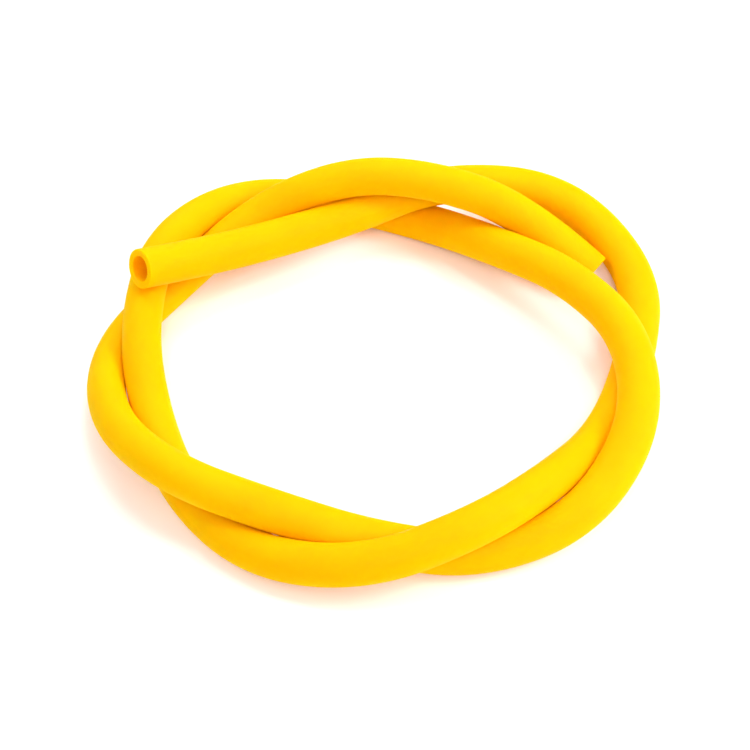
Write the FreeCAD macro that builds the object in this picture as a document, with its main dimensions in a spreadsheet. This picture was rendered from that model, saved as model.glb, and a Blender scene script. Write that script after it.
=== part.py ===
import FreeCAD
import Part
import math
import os

# A loosely coiled length of soft elastomer tube, open at both ends, lying on a flat surface.
# Millimetres, +Z up, origin on the surface under the middle of the coil.
#
# The tube is one piece. It is built as face-to-face stretches: a straight stretch at each mouth,
# and the coil between them cut across the straight middles of its runs.

doc = FreeCAD.newDocument("coiled_tube")

# ---------------------------------------------------------------- driving dimensions
sheet = doc.addObject("Spreadsheet::Sheet", "dimensions")
DIMENSIONS = [
    ("tube_diameter", 16.0),      # outside of the wall
    ("bore_diameter", 11.0),
    ("start_angle", 164.5),       # of the upper mouth, seen from above, degrees
    ("turns", 2.368),              # from the upper mouth to the lower mouth
    ("first_step", 0.75),         # of the route, as a share of the steps between
    ("last_step", 0.82),
    ("arc_share", 0.45),          # share of the shorter run that each bend takes up
    ("upper_end_length", 20.0),   # straight stretch behind the upper mouth
    ("lower_end_length", 22.0),   # straight stretch behind the lower mouth
]
for row, (alias, value) in enumerate(DIMENSIONS, start=1):
    sheet.set("A%d" % row, alias)
    sheet.set("B%d" % row, "%g" % value)
    sheet.setAlias("B%d" % row, alias)
doc.recompute()

BENDS_PER_SPAN = 1
GAP_CHECK_STEP = 3.0          # spacing of the points that the strand clearance is read at
GAP_CHECK_SKIP = 60.0         # nearer than this along the tube, two points are on one strand
VOLUME_TOLERANCE = 0.002      # share of section times length

# ---------------------------------------------------------------- the route of the coil
# Each point of the route: its distance from the middle of the coil, and the height of the
# tube's centre. The turns run clockwise. A strand on the surface is half a diameter up, one
# that lies on another strand is a diameter and a half up, and the third level is on both.
ROUTE = [
    (105, 43), (88, 31), (79, 25), (83, 23), (107, 26), (134, 20),
    (132, 8), (109, 8), (99, 9), (95, 20), (104, 28), (110, 18),
    (109, 8), (103, 8), (99, 14), (104, 23), (115, 27), (121, 19),
    (110, 8), (96, 8), (86, 18), (92, 25), (106, 27), (114, 22),
    (114, 12), (104, 8), (91, 10), (94, 21), (110, 28), (118, 18),
    (117, 8), (105, 8), (99, 26), (91, 41), (90, 41), (103, 28),
    (112, 10),
]


def route_points():
    """Corner points of the route, one step of angle after another around the coil."""
    steps = [sheet.first_step] + [1.0] * (len(ROUTE) - 3) + [sheet.last_step]
    step_angle = 360.0 * sheet.turns / sum(steps)
    angle = sheet.start_angle
    points = []
    for (radius, height), step in zip(ROUTE, steps + [0.0]):
        around = math.radians(angle)
        points.append(FreeCAD.Vector(radius * math.cos(around), radius * math.sin(around), height))
        angle -= step * step_angle
    return points


def bend(before, corner, after):
    """The arc that rounds one corner, and its radius: as large as its two runs allow."""
    back = before - corner
    ahead = after - corner
    cut = sheet.arc_share * min(back.Length, ahead.Length)
    half_turn = (math.pi - back.getAngle(ahead)) / 2.0
    radius = cut / math.tan(half_turn)
    back.normalize()
    ahead.normalize()
    start = corner + back * cut
    end = corner + ahead * cut
    inward = (back + ahead).normalize()
    corner_to_centre = radius / math.cos(half_turn)
    middle = corner + inward * (corner_to_centre - radius)
    return start, middle, end, radius


def stretch_path(start, corners, end, points):
    """One wire of straight runs and tangent arcs, from start round the numbered corners to end."""
    edges = []
    here = start
    for index in corners:
        arc_start, arc_middle, arc_end, _ = bend(*points[index - 1:index + 2])
        edges.append(Part.LineSegment(here, arc_start).toShape())
        edges.append(Part.Arc(arc_start, arc_middle, arc_end).toShape())
        here = arc_end
    edges.append(Part.LineSegment(here, end).toShape())
    return Part.Wire(edges)


def across(position, direction):
    """Placement at position with its Z axis along direction."""
    return FreeCAD.Placement(position, FreeCAD.Rotation(FreeCAD.Vector(0, 0, 1), direction))


# ---------------------------------------------------------------- the stretches of the tube
def cut_bore(name, wall, bore):
    """The tube's wall with its bore taken out, as the node called name."""
    stretch = doc.addObject("Part::Cut", name)
    stretch.Label = name
    stretch.Base = wall
    stretch.Tool = bore
    return stretch


def straight_end(name, mouth, inward, length_alias):
    """Straight stretch behind an open mouth, cut square."""
    cylinders = []
    for part_name, diameter_alias in (("wall", "tube_diameter"), ("bore", "bore_diameter")):
        cylinder = doc.addObject("Part::Cylinder", "%s_%s" % (name, part_name))
        cylinder.setExpression("Radius", "dimensions.%s / 2" % diameter_alias)
        cylinder.setExpression("Height", "dimensions.%s" % length_alias)
        cylinder.Placement = across(mouth, inward)
        cylinders.append(cylinder)
    return cut_bore(name, *cylinders)


def coil_span(name, path_shape):
    """Stretch of the coil: the wall and the bore swept along one path."""
    path = doc.addObject("Part::Feature", "%s_path" % name)
    path.Shape = path_shape
    first_edge = path_shape.Edges[0]
    start = first_edge.valueAt(first_edge.FirstParameter)
    direction = first_edge.tangentAt(first_edge.FirstParameter)
    sweeps = []
    for part_name, diameter_alias in (("wall", "tube_diameter"), ("bore", "bore_diameter")):
        section = doc.addObject("Part::Circle", "%s_%s_section" % (name, part_name))
        section.setExpression("Radius", "dimensions.%s / 2" % diameter_alias)
        section.Placement = across(start, direction)
        sweep = doc.addObject("Part::Sweep", "%s_%s" % (name, part_name))
        sweep.Sections = [section]
        sweep.Spine = (path, [])
        sweep.Solid = True
        sweeps.append(sweep)
    return cut_bore(name, *sweeps)


points = route_points()
last = len(points) - 1
upper_inward = (points[1] - points[0]).normalize()
lower_inward = (points[last - 1] - points[last]).normalize()
upper_joint = points[0] + upper_inward * sheet.upper_end_length
lower_joint = points[last] + lower_inward * sheet.lower_end_length

nodes = [straight_end("tube_end_upper", points[0], upper_inward, "upper_end_length")]
paths = []
here = upper_joint
for first_bend in range(1, last, BENDS_PER_SPAN):
    corners = range(first_bend, min(first_bend + BENDS_PER_SPAN, last))
    if corners[-1] == last - 1:
        there = lower_joint
    else:
        there = (points[corners[-1]] + points[corners[-1] + 1]) / 2.0
    paths.append(stretch_path(here, corners, there, points))
    nodes.append(coil_span("coil_span_%02d" % len(paths), paths[-1]))
    here = there
nodes.append(straight_end("tube_end_lower", points[last], lower_inward, "lower_end_length"))
doc.recompute()

# ---------------------------------------------------------------- checks
for item in doc.Objects:
    if "Invalid" in item.State or "Error" in item.State:
        raise RuntimeError("%s failed: %s" % (item.Name, item.State))
for node in nodes:
    if node.Shape.isNull() or not node.Shape.isValid() or len(node.Shape.Solids) != 1:
        raise RuntimeError("%s is not one valid solid" % node.Label)

section_area = math.pi / 4.0 * (sheet.tube_diameter ** 2 - sheet.bore_diameter ** 2)
lengths = [sheet.upper_end_length] + [path.Length for path in paths] + [sheet.lower_end_length]
for node, length in zip(nodes, lengths):
    share = node.Shape.Volume / (section_area * length)
    print("%-16s length %6.1f mm, volume over section times length %.5f" % (node.Label, length, share))
    if abs(share - 1.0) > VOLUME_TOLERANCE:
        raise RuntimeError("%s has the wrong volume" % node.Label)

radii = [bend(*points[index - 1:index + 2])[3] for index in range(1, last)]
print("bend radii in mm: " + " ".join("%.0f" % radius for radius in radii))
print("smallest bend radius %.1f mm, tube length %.1f mm" % (min(radii), sum(lengths)))


def smallest_strand_gap():
    """Smallest clearance between two strands of the coil, from points along the centre line."""
    line = []
    for path in paths:
        line += path.discretize(Distance=GAP_CHECK_STEP)
    skip = int(GAP_CHECK_SKIP / GAP_CHECK_STEP)
    nearest = min((a - b).Length for place, a in enumerate(line) for b in line[place + skip:])
    return nearest - sheet.tube_diameter


print("smallest gap between strands %.2f mm" % smallest_strand_gap())
box = FreeCAD.BoundBox()
for node in nodes:
    box.add(node.Shape.optimalBoundingBox(False, False))
print("box from (%.1f, %.1f, %.1f) to (%.1f, %.1f, %.1f)"
      % (box.XMin, box.YMin, box.ZMin, box.XMax, box.YMax, box.ZMax))

# ---------------------------------------------------------------- one file for each node
os.makedirs("parts", exist_ok=True)
for node in nodes:
    node.Shape.exportStep(os.path.join("parts", node.Label + ".step"))
    print("wrote parts/%s.step" % node.Label)
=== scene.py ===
import math

import bpy
import numpy as np
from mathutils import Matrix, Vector


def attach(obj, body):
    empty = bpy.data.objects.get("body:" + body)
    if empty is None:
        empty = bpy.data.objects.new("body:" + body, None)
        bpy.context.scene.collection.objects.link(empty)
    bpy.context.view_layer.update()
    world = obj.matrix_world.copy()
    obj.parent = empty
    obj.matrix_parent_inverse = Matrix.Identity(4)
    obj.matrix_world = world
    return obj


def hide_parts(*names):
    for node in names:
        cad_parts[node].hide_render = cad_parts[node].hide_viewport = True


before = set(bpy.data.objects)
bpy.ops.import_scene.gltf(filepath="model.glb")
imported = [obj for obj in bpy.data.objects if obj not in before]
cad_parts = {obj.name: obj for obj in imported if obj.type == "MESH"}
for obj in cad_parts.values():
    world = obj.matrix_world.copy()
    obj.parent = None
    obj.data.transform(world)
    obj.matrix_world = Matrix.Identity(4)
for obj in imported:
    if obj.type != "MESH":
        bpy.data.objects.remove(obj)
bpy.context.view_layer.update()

MM = 0.001

# ---------------------------------------------------------------- the tube
TUBE_DIAMETER = 16.0 * MM
BORE_DIAMETER = 11.0 * MM
START_ANGLE = math.radians(164.5)      # of the upper mouth, seen from above
TURNS = 2.368
FIRST_STEP = 0.75                      # of the route, as a share of the steps between
LAST_STEP = 0.82
RIM_RADIUS = 0.4 * MM                  # the cut edges, softened by the knife
LINE_POINTS_PER_STEP = 16              # how finely the centre line is read
SIDES = 48                             # of the section
RIM_STEPS = 4                          # in each rounded edge
SAME_STRAND = 60.0 * MM                # nearer than this along the tube, two points are on one strand
CONTACT_GAP = 0.2 * MM                 # left between two strands that press on each other
PRESS_ROUNDS = 12                      # enough for the pressed points to come to rest

# The soft wall is a little fuller than nominal, by a share of its width, and unevenly so. Each
# stretch gives its first and last place along the route, in steps, and the share it adds there.
FULLNESS = 0.02
FULL_STRETCHES = [
    (0.0, 1.0, 0.045), (5.0, 5.5, 0.075), (8.5, 9.5, 0.02),
    (11.5, 13.0, 0.055), (18.5, 20.0, 0.07), (23.5, 25.0, 0.09),
    (27.0, 28.0, 0.05), (30.0, 31.0, -0.03), (35.0, 36.0, 0.045),
]
FULL_FADE = 3.0                        # steps of the route over which the added share fades out

# Distance from the middle of the coil, and height of the tube's centre, in mm, at each step. These
# are the CAD model's points, with the 6th, 10th and 18th moved 1 mm. The CAD model's were not
# chosen by hand: a scratch script fitted them to outlines traced from the photograph.
ROUTE = [
    (105, 43), (88, 31), (79, 25), (83, 23), (107, 26), (133, 20),
    (132, 8), (109, 8), (99, 9), (96, 20), (104, 28), (110, 18),
    (109, 8), (103, 8), (99, 14), (104, 23), (115, 27), (120, 19),
    (110, 8), (96, 8), (86, 18), (92, 25), (106, 27), (114, 22),
    (114, 12), (104, 8), (91, 10), (94, 21), (110, 28), (118, 18),
    (117, 8), (105, 8), (99, 26), (91, 41), (90, 41), (103, 28),
    (112, 10),
]

# ---------------------------------------------------------------- the camera
# The rise, distance, target and focal length came out of the same fit as the route, and are rounded.
CAMERA_RISE = math.radians(47.8)       # how far the camera looks down
CAMERA_DISTANCE = 812.3 * MM
CAMERA_TARGET = Vector((-2.1 * MM, 6.8 * MM, 0.0))
FOCAL_LENGTH = 90.6                    # in millimetres, like the width of the sensor
SENSOR_WIDTH = 36.0
NEAR_CLIP = 10.0 * MM

# ---------------------------------------------------------------- the material
PIGMENT_DEEP = (1.0, 0.42, 0.0, 1.0)
PIGMENT_PALE = (1.0, 0.46, 0.0, 1.0)
PIGMENT_NOISE = 45.0                   # per metre: uneven pigment, centimetres across
SKIN_NOISE = 900.0                     # per metre: the powdery skin, a millimetre across
SKIN_ROUGHNESS = (0.52, 0.68)
SKIN_RELIEF = 0.05 * MM
SKIN_BUMP = 0.25
SKIN_SPECULAR = 0.03
SCATTER_COLOUR = (1.0, 0.7, 0.1)       # how deep red, green and blue reach, as shares of the depth
SCATTER_DEPTH = 7.0 * MM
NOISE_LOW = 0.25                       # most of a noise texture's values lie between these two
NOISE_HIGH = 0.75
MIX_FACTOR = 0                         # places of the sockets on a Mix node that mixes colours
MIX_FIRST = 6
MIX_SECOND = 7
MIX_RESULT = 2
FLOOR_COLOUR = (0.97, 0.97, 0.97, 1.0)
FLOOR_ROUGHNESS = 0.8
FLOOR_SPECULAR = 0.1
FLOOR_HALF_WIDTH = 3.0

# ---------------------------------------------------------------- the light
# The panels' places and widths are given one by one. Their watts and the world's strength began as a
# least-squares fit to the photograph's shading, and were then rounded and changed.
WORLD_COLOUR = (1.0, 1.0, 1.0, 1.0)
WORLD_STRENGTH = 0.3
PANELS = [                             # name, place in metres, width in metres, watts
    ("front", (0.1, -1.15, 1.35), 1.3, 8.0),
    ("beside_camera", (0.0, -1.2, 1.33), 0.35, 7.5),
    ("right", (1.5, -0.4, 0.85), 1.2, 12.5),
    ("right_high", (1.25, -0.1, 1.3), 0.6, 13.5),
    ("back", (-0.1, 0.45, 0.6), 0.6, 2.6),
    ("left", (-1.3, 0.3, 1.1), 1.2, 6.5),
    ("above", (0.25, 0.1, 1.8), 0.4, 6.0),
]


def make_camera():
    """The photograph's camera, in front of the coil and looking down at it."""
    data = bpy.data.cameras.new("camera")
    data.sensor_width = SENSOR_WIDTH
    data.lens = FOCAL_LENGTH
    data.clip_start = NEAR_CLIP
    camera = bpy.data.objects.new("camera", data)
    direction = Vector((0.0, -math.cos(CAMERA_RISE), math.sin(CAMERA_RISE)))
    camera.location = CAMERA_TARGET + direction * CAMERA_DISTANCE
    camera.rotation_euler = (math.radians(90.0) - CAMERA_RISE, 0.0, 0.0)
    bpy.context.collection.objects.link(camera)
    bpy.context.scene.camera = camera


def route_points():
    """Corner points of the route, one step of angle after another around the coil."""
    steps = [FIRST_STEP] + [1.0] * (len(ROUTE) - 3) + [LAST_STEP]
    step_angle = 2.0 * math.pi * TURNS / sum(steps)
    angle = START_ANGLE
    points = []
    for (radius, height), step in zip(ROUTE, steps + [0.0]):
        points.append(Vector((radius * math.cos(angle), radius * math.sin(angle), height)) * MM)
        angle -= step * step_angle
    return points


def centre_line():
    """Points of the smooth line that the tube follows, read from one NURBS spline."""
    data = bpy.data.curves.new("route", "CURVE")
    data.dimensions = "3D"
    spline = data.splines.new("NURBS")
    corners = route_points()
    spline.points.add(len(corners) - 1)
    for point, corner in zip(spline.points, corners):
        point.co = (*corner, 1.0)
    spline.order_u = 3
    spline.use_endpoint_u = True
    spline.resolution_u = LINE_POINTS_PER_STEP
    curve = bpy.data.objects.new("route", data)
    bpy.context.collection.objects.link(curve)
    bpy.context.view_layer.update()
    line_mesh = bpy.data.meshes.new_from_object(curve)
    line = [vertex.co.copy() for vertex in line_mesh.vertices]
    bpy.data.objects.remove(curve)
    bpy.data.meshes.remove(line_mesh)
    return line


def tangents_of(line):
    """Unit direction of the line at each of its points."""
    ahead = np.vstack([line[1:], line[-1:]])
    behind = np.vstack([line[:1], line[:-1]])
    along = ahead - behind
    return along / np.linalg.norm(along, axis=1, keepdims=True)


def frames_along(tangents):
    """Two directions across the line at each point, carried along it without twisting."""
    side = Vector(tangents[0]).cross(Vector((0, 0, 1)))
    previous = Vector(tangents[0])
    sides = []
    for tangent in (Vector(row) for row in tangents):
        side = previous.rotation_difference(tangent) @ side
        side = (side - tangent * side.dot(tangent)).normalized()
        sides.append(side)
        previous = tangent
    sides = np.array(sides)
    return sides, np.cross(tangents, sides)


def fullness(line):
    """How much wider the wall is than nominal at each point of the line."""
    place = np.linspace(0.0, len(ROUTE) - 1.0, len(line))
    extra = np.full(len(line), FULLNESS)
    for first, last, amount in FULL_STRETCHES:
        outside = np.maximum(first - place, 0.0) + np.maximum(place - last, 0.0)
        share = np.clip(1.0 - outside / FULL_FADE, 0.0, 1.0)
        extra += amount * share * share * (3.0 - 2.0 * share)
    return 1.0 + extra


def ring_points(centres, sides, ups, radii):
    """One ring of points round each centre: an array of rings, sides and coordinates."""
    angles = np.linspace(0.0, 2.0 * math.pi, SIDES, endpoint=False)
    around = (sides[:, None, :] * np.cos(angles)[None, :, None]
              + ups[:, None, :] * np.sin(angles)[None, :, None])
    return centres[:, None, :] + around * np.asarray(radii)[:, None, None]


def press(rings, line):
    """Flattens the rings where the tube lies on the floor or against another strand.

    A point of a ring moves toward its own centre until that is nearer, by the gap, than the centre
    line of any other strand."""
    along = np.concatenate([[0.0], np.cumsum(np.linalg.norm(np.diff(line, axis=0), axis=1))])
    pressed = rings.copy()
    for ring, centre, place in zip(pressed, line, along):
        others = line[np.abs(along - place) > SAME_STRAND]
        for _ in range(PRESS_ROUNDS):
            outward = ring - centre
            reach = np.linalg.norm(outward, axis=1)
            apart = np.linalg.norm(ring[:, None, :] - others[None, :, :], axis=2).min(axis=1)
            over = np.maximum(reach - apart + CONTACT_GAP, 0.0) / 2.0
            ring -= outward * (over / reach)[:, None]
    pressed[:, :, 2] = np.maximum(pressed[:, :, 2], 0.0)
    return pressed


def rim_rings(centre, tangent, side, up, outer):
    """Rings over the rounded edges of a mouth, from the wall round to the bore."""
    inner = BORE_DIAMETER / 2.0
    turns = np.linspace(0.0, math.pi / 2.0, RIM_STEPS + 1)
    outward = [(outer - RIM_RADIUS * (1.0 - math.cos(turn)), math.sin(turn)) for turn in turns]
    inward = [(inner + RIM_RADIUS * (1.0 - math.cos(turn)), math.sin(turn)) for turn in turns[::-1]]
    profile = outward + inward
    centres = np.array([centre - tangent * RIM_RADIUS * (1.0 - rise) for _, rise in profile])
    count = len(profile)
    radii = [radius for radius, _ in profile]
    return ring_points(centres, np.tile(side, (count, 1)), np.tile(up, (count, 1)), radii)


def make_tube(line):
    """The wall, the bore and the two rims, as one closed mesh."""
    line = np.array(line)
    tangents = tangents_of(line)
    sides, ups = frames_along(tangents)
    outer = TUBE_DIAMETER / 2.0 * fullness(line)
    inner = np.full(len(line), BORE_DIAMETER / 2.0)
    wall = press(ring_points(line, sides, ups, outer), line)
    bore = ring_points(line, sides, ups, inner)
    start_rim = rim_rings(line[0], -tangents[0], sides[0], ups[0], outer[0])
    end_rim = rim_rings(line[-1], tangents[-1], sides[-1], ups[-1], outer[-1])
    loop = np.concatenate([wall[1:-1], end_rim, bore[-2:0:-1], start_rim[::-1]])
    count = len(loop)
    faces = []
    for ring in range(count):
        following_ring = (ring + 1) % count
        for step in range(SIDES):
            following = (step + 1) % SIDES
            faces.append((ring * SIDES + step, ring * SIDES + following,
                          following_ring * SIDES + following, following_ring * SIDES + step))
    data = bpy.data.meshes.new("tube")
    data.from_pydata(loop.reshape(-1, 3).tolist(), [], faces)
    data.update()
    data.shade_smooth()
    tube = bpy.data.objects.new("tube", data)
    bpy.context.collection.objects.link(tube)
    return tube


def noise(tree, coordinates, scale, detail, roughness):
    """A noise texture over the given coordinates; returns its value output."""
    texture = tree.nodes.new("ShaderNodeTexNoise")
    texture.inputs["Scale"].default_value = scale
    texture.inputs["Detail"].default_value = detail
    texture.inputs["Roughness"].default_value = roughness
    tree.links.new(coordinates, texture.inputs["Vector"])
    return texture.outputs["Fac"]


def between(tree, factor, lowest, highest):
    """A noise value spread over the range from lowest to highest; returns the result output."""
    spread = tree.nodes.new("ShaderNodeMapRange")
    spread.inputs["From Min"].default_value = NOISE_LOW
    spread.inputs["From Max"].default_value = NOISE_HIGH
    spread.inputs["To Min"].default_value = lowest
    spread.inputs["To Max"].default_value = highest
    tree.links.new(factor, spread.inputs["Value"])
    return spread.outputs["Result"]


def tube_material():
    """Soft, translucent, matte yellow elastomer with a powdery skin."""
    material = bpy.data.materials.new("soft_yellow_elastomer")
    material.use_nodes = True
    tree = material.node_tree
    shader = tree.nodes["Principled BSDF"]
    coordinates = tree.nodes.new("ShaderNodeTexCoord").outputs["Object"]

    cloud = noise(tree, coordinates, PIGMENT_NOISE, detail=2.0, roughness=0.5)
    skin = noise(tree, coordinates, SKIN_NOISE, detail=4.0, roughness=0.6)
    tint = tree.nodes.new("ShaderNodeMix")
    tint.data_type = "RGBA"
    tint.inputs[MIX_FIRST].default_value = PIGMENT_DEEP
    tint.inputs[MIX_SECOND].default_value = PIGMENT_PALE
    tree.links.new(between(tree, cloud, 0.0, 1.0), tint.inputs[MIX_FACTOR])
    tree.links.new(tint.outputs[MIX_RESULT], shader.inputs["Base Color"])
    tree.links.new(between(tree, skin, *SKIN_ROUGHNESS), shader.inputs["Roughness"])
    bump = tree.nodes.new("ShaderNodeBump")
    bump.inputs["Strength"].default_value = SKIN_BUMP
    bump.inputs["Distance"].default_value = SKIN_RELIEF
    tree.links.new(skin, bump.inputs["Height"])
    tree.links.new(bump.outputs["Normal"], shader.inputs["Normal"])

    shader.inputs["Specular IOR Level"].default_value = SKIN_SPECULAR
    shader.inputs["Subsurface Weight"].default_value = 1.0
    shader.inputs["Subsurface Radius"].default_value = SCATTER_COLOUR
    shader.inputs["Subsurface Scale"].default_value = SCATTER_DEPTH
    return material


def make_floor():
    """A white square under the coil, for the picture only."""
    mesh = bpy.data.meshes.new("floor")
    half = FLOOR_HALF_WIDTH
    corners = [(-half, -half, 0.0), (half, -half, 0.0), (half, half, 0.0), (-half, half, 0.0)]
    mesh.from_pydata(corners, [], [(0, 1, 2, 3)])
    floor = bpy.data.objects.new("floor", mesh)
    bpy.context.collection.objects.link(floor)
    material = bpy.data.materials.new("white_floor")
    material.use_nodes = True
    shader = material.node_tree.nodes["Principled BSDF"]
    shader.inputs["Base Color"].default_value = FLOOR_COLOUR
    shader.inputs["Roughness"].default_value = FLOOR_ROUGHNESS
    shader.inputs["Specular IOR Level"].default_value = FLOOR_SPECULAR
    mesh.materials.append(material)


def make_lights():
    """A faint white room, and soft square panels that face the middle of the coil."""
    world = bpy.data.worlds.new("studio")
    world.use_nodes = True
    background = world.node_tree.nodes["Background"]
    background.inputs["Color"].default_value = WORLD_COLOUR
    background.inputs["Strength"].default_value = WORLD_STRENGTH
    bpy.context.scene.world = world
    for name, place, width, watts in PANELS:
        data = bpy.data.lights.new(name, "AREA")
        data.energy = watts
        data.size = width
        panel = bpy.data.objects.new(name, data)
        panel.location = place
        panel.rotation_euler = (-panel.location).to_track_quat("-Z", "Y").to_euler()
        bpy.context.collection.objects.link(panel)


# ---------------------------------------------------------------- the scene
make_camera()
line = centre_line()
tube = make_tube(line)
tube.data.materials.append(tube_material())
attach(tube, "root")
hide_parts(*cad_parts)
make_floor()
make_lights()
bpy.context.scene.view_settings.view_transform = "Standard"
